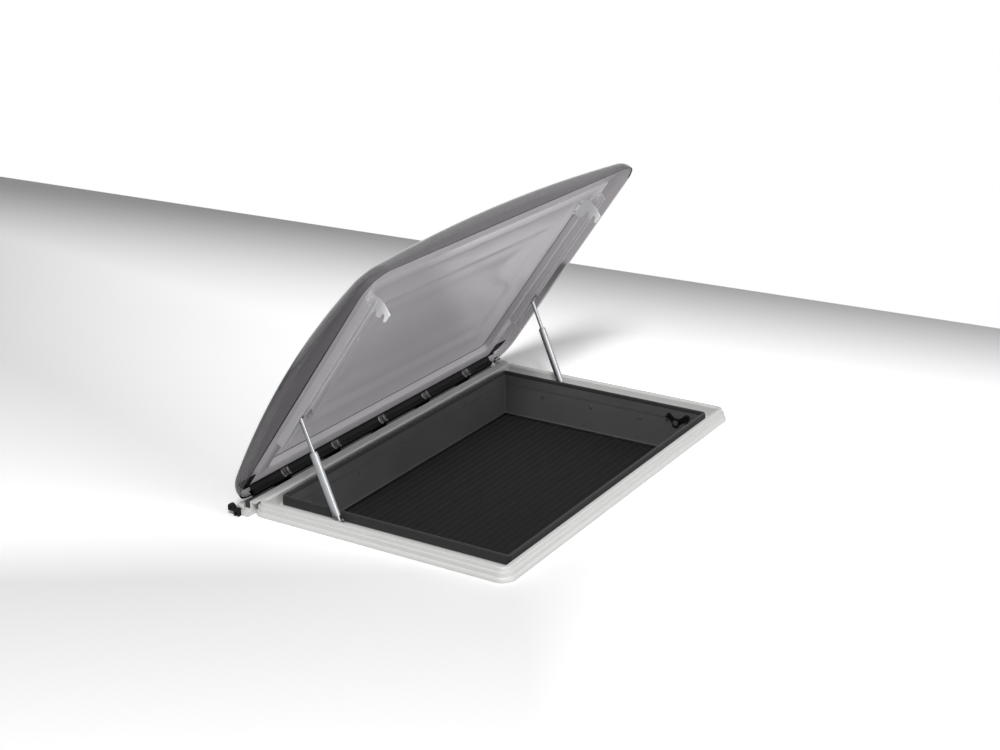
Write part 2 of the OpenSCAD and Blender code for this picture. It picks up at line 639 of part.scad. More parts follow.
// Side rail: a channel open downwards, with a groove in each wall for the sliders
module rail_profile() {
    difference() {
        translate([-rail_half, rail_low]) square([2 * rail_half, pane_h - gap / 2 - rail_low]);
        translate([-rail_in, rail_low - 1]) square([2 * rail_in, pane_h - 2 - rail_low + 1]);
        translate([-rail_in - groove_d, slider_n - slider_r - 0.5])
            square([2 * (rail_in + groove_d), 2 * slider_r + 1]);
    }
}
module side_rail() {
    color("#c9c7cb") on_lid() difference() {
        translate([rail_x, -rail_t0, 0]) rotate([90, 0, 0]) linear_extrude(rail_t1 - rail_t0) rail_profile();
        for (t = rail_screw_t) translate([rail_x, -t, pane_h - 3]) cylinder(r = 2, h = 6);
        translate([rail_x - rail_half - 1, -rail_t1 - 1, rail_low - 4]) rotate([24, 0, 0])
            cube([2 * rail_half + 2, 8, 30]);
    }
}
module side_rail_left() { mirror([1, 0, 0]) side_rail(); }
module side_rail_right() { side_rail(); }
module rail_catches() {
    color("#9a989c") on_lid() sides() side_plate(rail_x - rail_half + 1.4, 1.8)
        translate([catch_t, rail_low]) polygon([[0, -0.2], [24, -0.2], [24, -4], [18, -12], [15, -12],
            [17, -4], [6, -4], [0, -7]]);
}
module rail_screws() {
    color(steel) on_lid() sides() for (t = rail_screw_t)
        translate([rail_x, -t, pane_h - gap / 2]) {
            translate([0, 0, -2]) cylinder(r = 2 - run, h = 2);
            translate([0, 0, -2.7]) cylinder(r = 3.6, h = 0.65);
        }
}

// Claw: a hooked plate with two notches that open towards the hinge
module claw() {
    top = field_n - gap / 2;
    color(white) on_lid() {
        side_plate(claw_x - claw_t / 2, claw_t) difference() {
            polygon([[notch_t - 28, top], [notch_t + 12, top], [notch_t + 23, top - 1.6],
                [notch_t + 28, 16], [notch_t + 28, -10], [notch_t + 17, -36],
                [notch_t - 5, -36], [notch_t - 8, -31], [notch_t + 4, -27],
                [notch_t + 4, -19], [notch_t - 8, -18], [notch_t - 9, latch_n - 7],
                [notch_t, latch_n - 3.6], [notch_t, latch_n + 3.6], [notch_t - 21, latch_n + 6],
                [notch_t - 28, 12]]);
            translate([notch_t, latch_n]) circle(latch_pin_r + 0.6);
            translate([notch_t + 4, -23]) circle(4);
        }
        difference() {
            translate([claw_x - claw_t - 16, -notch_t - 23, top - 3]) cube([16.2, 51, 3]);
            for (t = claw_screw_t) translate([claw_x - claw_t - 9, -t, top - 5]) cylinder(r = 2, h = 8);
        }
    }
}
module claw_left() { mirror([1, 0, 0]) claw(); }
module claw_right() { claw(); }
module claw_screws() {
    color(steel) on_lid() sides() for (t = claw_screw_t)
        translate([claw_x - claw_t - 9, -t, field_n - gap / 2]) {
            translate([0, 0, -3.2]) cylinder(r = 2 - run, h = 3.2);
            translate([0, 0, -4.8]) cylinder(r = 3.6, h = 1.75);
        }
}

// Stay: foot eye, tube and rod on one line, drawn lying towards -Y and turned about the foot
module on_stay(side) {
    above_roof() translate([side * rail_x, foot_y, foot_h]) rotate([-stay_angle, 0, 0]) children();
}
module stay_tube(side) {
    color("#b9bbbd") on_stay(side) difference() {
        union() {
            x_rod(-eye_half, eye_half, 0, 0, eye_r);
            translate([0, -4, 0]) rotate([90, 0, 0]) cylinder(r = eye_half, h = 14);
            translate([0, -16, 0]) rotate([90, 0, 0]) cylinder(r = tube_r, h = tube_end - 16);
            translate([0, -tube_end, 0]) rotate([90, 0, 0]) cylinder(r = tube_r - 1.2, h = 3);
        }
        x_rod(-20, 20, 0, 0, pin_r + run);
        translate([0, -tube_end + 40, 0]) rotate([90, 0, 0]) cylinder(r = rod_r + run, h = 60);
    }
}
module stay_rod(side) {
    color(steel) on_stay(side) difference() {
        union() {
            translate([0, -tube_end + 38, 0]) rotate([90, 0, 0])
                cylinder(r = rod_r, h = stay_len - tube_end + 38 - 3);
            x_rod(-6, 6, -stay_len, 0, eye_r - 0.5);
        }
        x_rod(-20, 20, -stay_len, 0, axle_r + run);
    }
}
module stay_axle(side) {
    half = rail_in + groove_d - 0.4;
    color(steel) on_stay(side) x_rod(-half, half, -stay_len, 0, axle_r);
}
module stay_sliders(side) {
    color("#efefef") on_stay(side) for (m = [0, 1]) mirror([m, 0, 0]) difference() {
        union() {
            x_rod(6.3, rail_in - 0.4, -stay_len, 0, slider_r - 0.6);
            x_rod(rail_in - 0.5, rail_in + groove_d - 0.4, -stay_len, 0, slider_r);
        }
        x_rod(6, rail_in + groove_d, -stay_len, 0, axle_r + run);
    }
}
module stay_tube_left() { stay_tube(-1); }
module stay_tube_right() { stay_tube(1); }
module stay_rod_left() { stay_rod(-1); }
module stay_rod_right() { stay_rod(1); }
module stay_axle_left() { stay_axle(-1); }
module stay_axle_right() { stay_axle(1); }
module stay_sliders_left() { stay_sliders(-1); }
module stay_sliders_right() { stay_sliders(1); }
module stay_brackets() {
    color(steel) above_roof() sides() difference() {
        union() {
            translate([rail_x - cheek_half, foot_y - 9, gutter_floor + 0.1]) cube([2 * cheek_half, 18, 1.6]);
            for (s = [-1, 1]) translate([rail_x + s * (cheek_half - cheek_t / 2), foot_y, 0]) {
                translate([0, 0, foot_h]) rotate([0, 90, 0]) cylinder(r = 7.5, h = cheek_t, center = true);
                translate([0, 0, (foot_h + gutter_floor) / 2])
                    cube([cheek_t, 15, foot_h - gutter_floor - 0.2], center = true);
            }
        }
        x_rod(rail_x - 20, rail_x + 20, foot_y, foot_h, pin_r + run);
    }
}
module foot_pins() {
    color(steel) above_roof() sides() {
        x_rod(rail_x - cheek_half, rail_x + cheek_half, foot_y, foot_h, pin_r);
        x_rod(rail_x + cheek_half + 0.05, rail_x + cheek_half + 0.6, foot_y, foot_h, pin_r + 1.2);
        x_rod(rail_x + cheek_half - 0.5, rail_x + cheek_half + 0.3, foot_y, foot_h, pin_r);
    }
}

// Latch lever on the well's end wall, with a crank pin for the claw and a grip with a knob
module latch_lever() {
    x0 = lever_x - lever_t;
    color(black) above_roof() translate([0, latch_y, latch_z]) difference() {
        union() {
            x_rod(x0, lever_x, 0, 0, 11);
            rotate([-latch_turn, 0, 0]) {
                translate([x0, -5, 0]) cube([lever_t, 10, latch_r]);
                x_rod(x0, lever_x, 0, latch_r, 5);
                x_rod(claw_x - claw_t - 1.5, x0 + 0.5, 0, latch_r, latch_pin_r);
            }
            rotate([-grip_rise, 0, 0]) {
                translate([x0, -grip_len, -5.5]) cube([lever_t, grip_len, 11]);
                x_rod(x0 - 3, lever_x, -grip_len, 0, 8);
            }
        }
        x_rod(lever_x - 20, lever_x + 20, 0, 0, latch_axle_r + run);
    }
}
module latch_lever_left() { mirror([1, 0, 0]) latch_lever(); }
module latch_lever_right() { latch_lever(); }
module latch_axles() {
    color(steel) above_roof() sides() {
        x_rod(lever_x - lever_t - gap, inner_face_a - gap, latch_y, latch_z, latch_axle_r);
        x_rod(lever_x - lever_t - 2.2, lever_x - lever_t - 0.25, latch_y, latch_z, 7);
        x_rod(inner_face_a - 0.4, wall_a - gap - 0.2, latch_y, latch_z, 2.6 - run);
    }
}

outer_frame();
roof_seal();
lid_seal();
upper_lining();
inner_frame();
interior_trim();
frame_screws();
trim_screws();
blind_guide_left();
blind_guide_right();
blackout_cassette();
flyscreen_cassette();
blackout_fabric();
blackout_bar();
flyscreen_net();
flyscreen_bar();
hinge_base();
hinge_rod();
hinge_end_caps();
stay_brackets();
foot_pins();
latch_axles();
latch_lever_left();
latch_lever_right();
outer_dome();
inner_pane();
glazing_bead();
hinge_profile();
pane_clips();
side_rail_left();
side_rail_right();
rail_catches();
rail_screws();
claw_left();
claw_right();
claw_screws();
stay_tube_left();
stay_rod_left();
stay_sliders_left();
stay_axle_left();
stay_tube_right();
stay_rod_right();
stay_sliders_right();
stay_axle_right();
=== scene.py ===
"""Caravan roof window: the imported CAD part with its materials, and finer surfaces for the dome,
the inner pane and the two blinds. Metres in the CAD's frame, but millimetres on the lid."""

import bpy
import numpy as np
from mathutils import Euler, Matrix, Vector


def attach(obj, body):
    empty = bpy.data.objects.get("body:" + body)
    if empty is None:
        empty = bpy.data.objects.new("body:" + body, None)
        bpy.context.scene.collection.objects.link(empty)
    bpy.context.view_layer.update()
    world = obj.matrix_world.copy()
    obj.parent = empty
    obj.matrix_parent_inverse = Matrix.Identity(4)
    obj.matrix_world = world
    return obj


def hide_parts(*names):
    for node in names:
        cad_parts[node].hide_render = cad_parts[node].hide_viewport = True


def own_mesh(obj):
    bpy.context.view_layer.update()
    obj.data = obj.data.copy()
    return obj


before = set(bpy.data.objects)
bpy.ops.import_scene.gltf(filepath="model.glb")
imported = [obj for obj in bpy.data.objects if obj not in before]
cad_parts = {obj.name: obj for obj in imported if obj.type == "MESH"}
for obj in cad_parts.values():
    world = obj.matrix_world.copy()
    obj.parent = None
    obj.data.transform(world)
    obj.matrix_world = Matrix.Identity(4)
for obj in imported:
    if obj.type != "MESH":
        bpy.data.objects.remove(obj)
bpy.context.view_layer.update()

# Camera
# A long lens beyond the near corner, 24 degrees above the roof. The picture's centre lies to the left
# of the lens axis, so the camera is shifted sideways by a tenth of the frame.
view = bpy.data.cameras.new("photo_view")
view.sensor_width = 36
view.lens = 61.44
view.shift_x = -0.1
view.clip_end = 60
camera = bpy.data.objects.new("photo_view", view)
camera.location = (-3.2182, -2.0801, 1.7995)
camera.rotation_euler = Euler(np.radians((69.2686, -0.1987, -60.4594)))
bpy.context.scene.collection.objects.link(camera)
bpy.context.scene.camera = camera
bpy.context.scene.view_settings.view_transform = "Standard"


# Roof and studio
# A pale caravan roof 35 mm thick with the cut-out that the window stands in, under two soft lamps,
# in front of a white backdrop. Its far edge is where the photograph shows it.
def rgb(code):
    """Linear colour of an sRGB hex code: each channel scaled to 1, then the sRGB curve undone."""
    c = np.array([int(code[i:i + 2], 16) for i in (1, 3, 5)]) / 255
    return (*np.where(c > 0.04045, ((c + 0.055) / 1.055) ** 2.4, c / 12.92), 1.0)


def give(node, settings):
    """Settings of a shader node. One named after a socket, or numbered as one, gives that socket its
    value or its link, and any other is an attribute of the node."""
    for key, value in settings.items():
        if isinstance(key, str) and key not in node.inputs:
            setattr(node, key, value)
        elif isinstance(value, bpy.types.NodeSocket):
            node.id_data.links.new(value, node.inputs[key])
        else:
            node.inputs[key].default_value = value


def add(owner, kind, settings):
    """One shader node in the owner's tree, with its settings and links."""
    node = owner.node_tree.nodes.new(kind)
    give(node, settings)
    return node


def material(name, **shader):
    """A material with one Principled shader, its settings given with _ for a space, and its output."""
    made = bpy.data.materials.new(name)
    made.use_nodes = True
    made.node_tree.nodes.clear()
    settings = {key.replace("_", " "): value for key, value in shader.items()}
    skin = add(made, "ShaderNodeBsdfPrincipled", settings)
    add(made, "ShaderNodeOutputMaterial", {"Surface": skin.outputs[0]})
    return made, skin


def surface(name, points, faces, angle=35):
    """A mesh object from points and lists of corners, smooth but for edges sharper than angle."""
    mesh = bpy.data.meshes.new(name)
    mesh.from_pydata(np.asarray(points).tolist(), [], faces)
    mesh.shade_smooth()
    mesh.set_sharp_from_angle(angle=np.radians(angle))
    made = bpy.data.objects.new(name, mesh)
    bpy.context.scene.collection.objects.link(made)
    return made


ROOF_Z = 0.120
# Half a millimetre under the real thickness, to stay clear of the interior frame's plate
ROOF_THICK = 0.0345
# Half the length and half the width of the cut-out
CUT_X, CUT_Y = 0.4775, 0.313
# The outer edge, from far left round to near left, then the cut-out in the same order
edge = [(1.26, 6.0), (1.72, -3.4), (-4.6, -3.4), (-4.6, 6.0)]
hole = [(CUT_X, CUT_Y), (CUT_X, -CUT_Y), (-CUT_X, -CUT_Y), (-CUT_X, CUT_Y)]
roof = surface("roof", [(*p, ROOF_Z) for p in edge + hole],
               [[(i + 1) % 4, i, 4 + i, 4 + (i + 1) % 4] for i in range(4)])
thick = roof.modifiers.new("roof_thickness", "SOLIDIFY")
thick.thickness = ROOF_THICK
thick.offset = -1
# Painted sandwich panel: a dull white that takes soft shadows. Its colour greys a little towards its
# far edge, as painted shade for the light falling off there. The camera sees it brighter by one factor,
# as a lit studio floor, so the shadow keeps its contrast.
TO_FAR_EDGE = (0.865, 0.502, 0)
paint, skin = material("matt_white_roof_paint", Roughness=0.8)
place = add(paint, "ShaderNodeTexCoord", {}).outputs["Object"]
depth = add(paint, "ShaderNodeVectorMath", {"operation": "DOT_PRODUCT", 0: place, 1: TO_FAR_EDGE})
# Painted shade: the roof's colour greys towards its far edge
far_shade = add(paint, "ShaderNodeMapRange",
          {"Value": depth.outputs["Value"], "From Min": 0.6, "From Max": 1.7,
           "interpolation_type": "SMOOTHSTEP"})
tone = add(paint, "ShaderNodeMix",
           {"data_type": "RGBA", 0: far_shade.outputs[0], 6: rgb("#fbfbfb"), 7: rgb("#f6f6f6")})
rays = add(paint, "ShaderNodeLightPath", {}).outputs
lift = add(paint, "ShaderNodeMapRange",
           {"Value": rays["Is Camera Ray"], "To Min": 1.0, "To Max": 1.45})
tone = add(paint, "ShaderNodeVectorMath",
           {"operation": "SCALE", 0: tone.outputs[2], "Scale": lift.outputs[0]})
cloud = add(paint, "ShaderNodeTexNoise", {"Vector": place, "Scale": 1.3, "Detail": 2})
bump = add(paint, "ShaderNodeBump", {"Height": cloud.outputs[0], "Strength": 0.1, "Distance": 0.002})
give(skin, {"Base Color": tone.outputs[0], "Normal": bump.outputs[0]})
roof.data.materials.append(paint)

# The backdrop is white where it is seen, also in gloss and glass, and lights the scene much less
world = bpy.data.worlds.new("studio")
world.use_nodes = True
world.node_tree.nodes.clear()
bpy.context.scene.world = world
rays = add(world, "ShaderNodeLightPath", {}).outputs
seen = rays["Is Camera Ray"]
for kind in ("Is Glossy Ray", "Is Transmission Ray"):
    seen = add(world, "ShaderNodeMath", {"operation": "MAXIMUM", 0: seen, 1: rays[kind]}).outputs[0]
level = add(world, "ShaderNodeMapRange", {"Value": seen, "To Min": 0.19, "To Max": 1.0})
sky = add(world, "ShaderNodeBackground", {"Color": (1, 1, 1, 1), "Strength": level.outputs[0]})
add(world, "ShaderNodeOutputWorld", {"Surface": sky.outputs[0]})


def softbox(name, place, aim, size, power):
    """A square area lamp at place that points at aim."""
    lamp = bpy.data.lights.new(name, "AREA")
    lamp.size = size
    lamp.energy = power
    made = bpy.data.objects.new(name, lamp)
    made.location = place
    made.rotation_euler = (Vector(place) - Vector(aim)).to_track_quat("Z", "Y").to_euler()
    bpy.context.scene.collection.objects.link(made)


softbox("key", (-5.2, -3.2, 7.4), (1.2, 0.9, 0.1), 2.0, 640)
softbox("front_fill", (-0.6, -7.5, 1.9), (0, 0, 0.4), 4.0, 145)


# Outer frame
# One white moulding of ASA, the weatherproof cousin of ABS: flange, crest, gutter, skirt and the land
# in front of the hinge. It comes off a finely eroded tool, so it is satin and not glossy.
def moulded(name, light, dark, grain, depth, rough, rounding, **shader):
    """A moulded plastic. Colour drifts between two hex values over about a tenth of a metre, roughness
    drifts with it, and bumps of the tool's grain sit on normals rounded over the moulding's edges."""
    made, skin = material(name, **shader)
    place = add(made, "ShaderNodeTexCoord", {}).outputs["Object"]
    drift = add(made, "ShaderNodeTexNoise",
                {"Vector": place, "Scale": 9, "Detail": 4, "Roughness": 0.6})
    tone = add(made, "ShaderNodeMix",
               {"data_type": "RGBA", 0: drift.outputs[0], 6: rgb(dark), 7: rgb(light)})
    gloss = add(made, "ShaderNodeMapRange",
                {"Value": drift.outputs[0], "From Min": 0.3, "From Max": 0.7,
                 "To Min": rough - 0.05, "To Max": rough + 0.05})
    pits = add(made, "ShaderNodeTexNoise", {"Vector": place, "Scale": 1 / grain, "Detail": 2})
    edges = add(made, "ShaderNodeBevel", {"samples": 4, "Radius": rounding})
    bump = add(made, "ShaderNodeBump",
               {"Height": pits.outputs[0], "Strength": 0.35, "Distance": depth,
                "Normal": edges.outputs[0]})
    give(skin, {"Base Color": tone.outputs[2], "Roughness": gloss.outputs[0],
                "Normal": bump.outputs[0]})
    return made


def dress(made, *names):
    """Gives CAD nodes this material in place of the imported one."""
    for name in names:
        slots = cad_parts[name].data.materials
        slots.clear()
        slots.append(made)


# Real grain is about 0.3 mm; 0.9 mm is the finest that shows at this distance
white_asa = moulded("white_asa", "#d8d8d7", "#d0d0ce", 0.0009, 0.00006, 0.42, 0.0009)
dress(white_asa, "outer_frame")

# Seals
# Black EPDM rubber, extruded: the flat strip under the flange, the hollow bulb on the skirt's upstand
# and the bead round the pane's field. Dull and a little dusty.
epdm = moulded("black_epdm_rubber", "#232324", "#161617", 0.0014, 0.00009, 0.72, 0.0005,
               Sheen_Weight=0.15)
dress(epdm, "roof_seal", "lid_seal", "glazing_bead")

# Lining and interior frame
# Charcoal ABS: the walls of the well, the frame inside the roof and the housings of the blinds.
# A coarse leather-like tool grain makes them matt.
charcoal_abs = moulded("grained_charcoal_abs", "#5a5a5b", "#4c4c4e", 0.0016, 0.00018, 0.55, 0.0008)
dress(charcoal_abs, "upper_lining", "inner_frame", "blackout_cassette", "flyscreen_cassette")

# Interior trim
# The white ring on the caravan's ceiling, and the bar of the insect net. Both are moulded of ABS for
# indoors, which is smoother and warmer than the ASA.
white_abs = moulded("white_abs", "#ebeae6", "#e4e3de", 0.0012, 0.00004, 0.38, 0.0012)
dress(white_abs, "interior_trim", "flyscreen_bar")


# Screws and pins
# Zinc-plated steel: bright and faintly bluish where the passivation is clear, dark grey and duller
# where it is dyed, on the screws and pivots that sit in the well's dark wall.
def plated(name, dark, light, rough):
    """Plated steel: colour and roughness drift together over about 6 mm, on edges rounded by 0.4 mm."""
    made, skin = material(name, Metallic=1.0)
    place = add(made, "ShaderNodeTexCoord", {}).outputs["Object"]
    drift = add(made, "ShaderNodeTexNoise", {"Vector": place, "Scale": 160, "Detail": 3})
    tone = add(made, "ShaderNodeMix",
               {"data_type": "RGBA", 0: drift.outputs[0], 6: rgb(dark), 7: rgb(light)})
    gloss = add(made, "ShaderNodeMapRange",
                {"Value": drift.outputs[0], "To Min": rough - 0.1, "To Max": rough + 0.1})
    edges = add(made, "ShaderNodeBevel", {"samples": 4, "Radius": 0.0004})
    give(skin, {"Base Color": tone.outputs[2], "Roughness": gloss.outputs[0],
                "Normal": edges.outputs[0]})
    return made


zinc = plated("zinc_plated_steel", "#a9abae", "#cfd0d1", 0.31)
dress(zinc, "trim_screws", "rail_screws", "claw_screws", "foot_pins", "stay_brackets")
black_zinc = plated("black_zinc_plated_steel", "#6c6c6e", "#7c7c7f", 0.6)
dress(black_zinc, "frame_screws", "latch_axles")

# Blind guides
# Extruded aluminium, anodised in its natural colour: satin, with draw lines about 1 mm apart along its
# length, which lies along Y.
anodised, skin = material("anodised_aluminium", Metallic=1.0)
place = add(anodised, "ShaderNodeTexCoord", {}).outputs["Object"]
along = add(anodised, "ShaderNodeMapping", {"Vector": place, "Scale": (900, 6, 900)})
lines = add(anodised, "ShaderNodeTexNoise", {"Vector": along.outputs[0], "Scale": 1, "Detail": 3})
tone = add(anodised, "ShaderNodeMix",
           {"data_type": "RGBA", 0: lines.outputs[0], 6: rgb("#b4b6b9"), 7: rgb("#c6c8ca")})
gloss = add(anodised, "ShaderNodeMapRange", {"Value": lines.outputs[0], "To Min": 0.3, "To Max": 0.42})
bump = add(anodised, "ShaderNodeBump",
           {"Height": lines.outputs[0], "Strength": 0.2, "Distance": 0.00005})
give(skin, {"Base Color": tone.outputs[2], "Roughness": gloss.outputs[0], "Normal": bump.outputs[0]})
dress(anodised, "blind_guide_left", "blind_guide_right")


# Blinds
# Two pleated cloths on moving bars: an opaque polyester one above, drawn over the whole opening, and a
# glass-fibre insect net below. Each runs in the guides' slots and folds up against its own cassette.
CLOTH_Z, NET_Z = 0.022, 0.014
PLEAT, SAG = 0.020, 0.0008
# Half a cloth's width, and its distance from the middle at its cassette and at its bar
CLOTH_X, CLOTH_END, CLOTH_START = 0.482, 0.3215, 0.2882
# Height of the pleats in the slots, and the width over which they change to their height between them
SLOT_RISE, SLOT_REACH = 0.0007, 0.03
# How sharp a fold is, where 1 is a point, and how unevenly the folds lie
SHARP, UNEVEN = 0.97, 0.0002


def grid(rows, columns):
    """Faces of a grid of points, row by row, so that each four neighbours make one."""
    first = (np.arange(rows - 1)[:, None] * columns + np.arange(columns - 1)).reshape(-1, 1)
    return first + np.array([0, 1, columns + 1, columns])


def pleats(name, z, side, rise):
    """A zigzag cloth across the opening. Height is a rounded zigzag of y with the pleat's pitch, low in
    the guides' slots and rise high between them, where it also drifts and sags as a parabola of x."""
    ys = np.linspace(-CLOTH_START, CLOTH_END, 481)
    xs = np.linspace(-CLOTH_X, CLOTH_X, 49)
    y, x = np.meshgrid(ys, xs, indexing="ij")
    wave = (y + CLOTH_START) / PLEAT * 2 * np.pi
    open_part = np.clip((CLOTH_X - np.abs(x)) / SLOT_REACH, 0, 1)
    fold = np.arcsin(SHARP * np.cos(wave)) / np.arcsin(SHARP)
    drift = UNEVEN * np.sin(7 * x + 1.3 * wave / np.pi)
    sag = SAG * open_part * (1 - (x / CLOTH_X) ** 2)
    height = z + (SLOT_RISE + (rise - SLOT_RISE) * open_part) * fold - sag
    points = np.stack([x, side * y, height + drift * open_part], -1).reshape(-1, 3)
    faces = grid(len(ys), len(xs))
    cloth = surface(name, points, (faces[:, ::-1] if side > 0 else faces).tolist(), 80)
    uv = cloth.data.uv_layers.new(name="weave")
    corners = np.empty(len(cloth.data.loops), int)
    cloth.data.loops.foreach_get("vertex_index", corners)
    length = np.concatenate([[0], np.cumsum(np.hypot(np.diff(ys), np.diff(fold[:, 0]) * rise))])
    flat = np.stack([x, np.broadcast_to(length[:, None], x.shape)], -1).reshape(-1, 2)
    uv.data.foreach_set("uv", flat[corners].ravel())
    return cloth, float(length[-1])


def weave(made, flat, scale, **waver):
    """Height of a plain weave on the cloth's flat measure: the larger of two waves that cross. A wave
    texture repeats every 0.314 of its unit, so the threads lie 0.314 / scale metres apart."""
    warp, weft = (add(made, "ShaderNodeTexWave",
                      {"bands_direction": way, "Vector": flat, "Scale": scale, **waver}).outputs[1]
                  for way in "XY")
    return add(made, "ShaderNodeMath", {"operation": "MAXIMUM", 0: warp, 1: weft}).outputs[0]


blackout, blackout_long = pleats("blackout_cloth", CLOTH_Z, 1, 0.00035)
# Polyester with a blackout coating: matt near-black, a soft sheen along the folds. Its 0.3 mm threads
# are drawn 2.4 mm apart, which is as fine as the picture shows.
polyester, skin = material("coated_polyester_cloth", Roughness=0.85, Sheen_Weight=0.1,
                           Sheen_Roughness=0.4, Specular_IOR_Level=0.25)
flat = add(polyester, "ShaderNodeUVMap", {"uv_map": "weave"}).outputs[0]
threads = weave(polyester, flat, 130, Distortion=0.6, Detail=1)
cloud = add(polyester, "ShaderNodeTexNoise", {"Vector": flat, "Scale": 14, "Detail": 4})
tone = add(polyester, "ShaderNodeMix",
           {"data_type": "RGBA", 0: cloud.outputs[0], 6: rgb("#090909"), 7: rgb("#0f0f10")})
bump = add(polyester, "ShaderNodeBump", {"Height": threads, "Strength": 0.3, "Distance": 0.00015})
give(skin, {"Base Color": tone.outputs[2], "Normal": bump.outputs[0]})
blackout.data.materials.append(polyester)
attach(blackout, "frame")
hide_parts("blackout_fabric")
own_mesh(blackout)

insect_net, net_long = pleats("insect_net", NET_Z, -1, 0.0012)
# PVC-coated glass fibre, charcoal. The real mesh is 1.4 mm; it is drawn at 5.2 mm so that it shows.
glass_fibre, skin = material("glass_fibre_net", Base_Color=rgb("#4a4b4c"), Roughness=0.6)
flat = add(glass_fibre, "ShaderNodeUVMap", {"uv_map": "weave"}).outputs[0]
threads = weave(glass_fibre, flat, 60)
solid = add(glass_fibre, "ShaderNodeMapRange", {"Value": threads, "From Min": 0.78, "From Max": 0.86})
bump = add(glass_fibre, "ShaderNodeBump", {"Height": threads, "Strength": 0.4, "Distance": 0.0002})
give(skin, {"Alpha": solid.outputs[0], "Normal": bump.outputs[0]})
insect_net.data.materials.append(glass_fibre)
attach(insect_net, "frame")
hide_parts("flyscreen_net")
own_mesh(insect_net)

# Hinge, levers and the upper blind's bar
# Glass-filled polyamide, black: the base with its lugs, the clamping profile on the lid, the end caps
# and the latch levers. It is darker than the ABS and reflects less.
black_pa = moulded("black_glass_filled_polyamide", "#0b0b0c", "#060607", 0.0011, 0.0001, 0.52, 0.0007,
                   Specular_IOR_Level=0.2)
dress(black_pa, "hinge_base", "hinge_end_caps", "hinge_profile", "latch_lever_left",
      "latch_lever_right", "blackout_bar")


# Stays
# A satin-ground steel tube on a foot eye, and a polished rod that carries the sliders' axle. The tube's
# grinding lines run round it, so the pattern is turned to the stay's slope of 111.95 degrees.
STAY_SLOPE = np.radians(111.95)


def turned(name, light, dark, low, high, pitch, depth):
    """A ground or polished steel bar: noise drawn out round the bar and fine along it."""
    made, skin = material(name, Metallic=1.0)
    place = add(made, "ShaderNodeTexCoord", {}).outputs["Object"]
    level = add(made, "ShaderNodeMapping", {"Vector": place, "Rotation": (STAY_SLOPE, 0, 0)})
    along = add(made, "ShaderNodeMapping", {"Vector": level.outputs[0], "Scale": (20, 1 / pitch, 20)})
    rings = add(made, "ShaderNodeTexNoise", {"Vector": along.outputs[0], "Scale": 1, "Detail": 3})
    tone = add(made, "ShaderNodeMix",
               {"data_type": "RGBA", 0: rings.outputs[0], 6: rgb(dark), 7: rgb(light)})
    gloss = add(made, "ShaderNodeMapRange", {"Value": rings.outputs[0], "To Min": low, "To Max": high})
    bump = add(made, "ShaderNodeBump", {"Height": rings.outputs[0], "Strength": 0.3, "Distance": depth})
    give(skin, {"Base Color": tone.outputs[2], "Roughness": gloss.outputs[0],
                "Normal": bump.outputs[0]})
    return made


satin_steel = turned("ground_stainless_steel", "#b9bbbd", "#9c9ea0", 0.28, 0.42, 0.0012, 0.00005)
dress(satin_steel, "stay_tube_left", "stay_tube_right")
# Polished, and darker than the tube, as in the photograph: the rods, their axles and the hinge rod
polished_steel = turned("polished_stainless_steel", "#a9aaac", "#939496", 0.07, 0.16, 0.002, 0.00001)
dress(polished_steel, "stay_rod_left", "stay_rod_right", "stay_axle_left", "stay_axle_right",
      "hinge_rod")
# Acetal: the slippery white plastic of sliding parts, waxy and a little translucent
acetal = moulded("white_acetal", "#f0f0ee", "#e8e8e5", 0.0008, 0.00002, 0.3, 0.0004,
                 Subsurface_Weight=0.15, Subsurface_Radius=(0.002, 0.002, 0.002))
dress(acetal, "stay_sliders_left", "stay_sliders_right")


# Dome
# Smoke-tinted cast acrylic, drawn over a former: high gloss, 4 mm thick, rounded at the shoulder and
# bulged over its middle. It is clear glass-like plastic whose tint deepens with the way through it.
LID_OPEN = np.radians(55)
HINGE_Y, HINGE_Z = 0.385, 0.140
# The lip in plan: half its length, where its two long edges lie, and its corner radius
DOME_A, DOME_T0, DOME_T1, DOME_R = 571.5, 15.0, 757.0, 64.0
# Thickness of the sheet, and how far the lip lies below the hinge axis
DOME_WALL, LIP = 4.0, 5.5
# Height of the wall above the lip, how far inside it the wall reaches, and the power of its curve
SHOULDER, REACH, POWER = 27, 34, 2.4
# What the bulge adds along the middle of the length and of the width, and its loss where they meet
BULGE_X, BULGE_T, BULGE_BOTH = 30, 38, 20


def on_lid(points):
    """Lid coordinates in millimetres, x, t from the hinge to the free edge and n upwards, to the row
    frame: t and n turned about the hinge axis by the opening angle."""
    x, t, n = np.moveaxis(np.asarray(points, float), -1, 0) / 1000
    c, s = np.cos(LID_OPEN), np.sin(LID_OPEN)
    return np.stack([x, HINGE_Y - t * c + n * s, HINGE_Z + t * s + n * c], -1)


def dome_height(x, t, wall):
    """Height of the dome's face above the hinge axis, wall millimetres inside its outer face: a bulge
    of two parabolas, times a quarter of a superellipse of the distance inside the lip."""
    u = x / DOME_A
    v = 2 * (t - DOME_T0) / (DOME_T1 - DOME_T0) - 1
    p, q = np.maximum(0, 1 - u * u), np.maximum(0, 1 - v * v)
    bulge = SHOULDER + BULGE_X * p + BULGE_T * q - BULGE_BOTH * p * q
    ex, et = DOME_A - np.abs(x), np.minimum(t - DOME_T0, DOME_T1 - t)
    cx, ct = DOME_R - ex, DOME_R - et
    inside = np.where((cx > 0) & (ct > 0), DOME_R - np.hypot(cx, ct), np.minimum(ex, et))
    k = 1 - np.clip((inside - wall) / REACH, 0, 1)
    return -LIP + (bulge - wall) * (1 - k ** POWER) ** (1 / POWER)


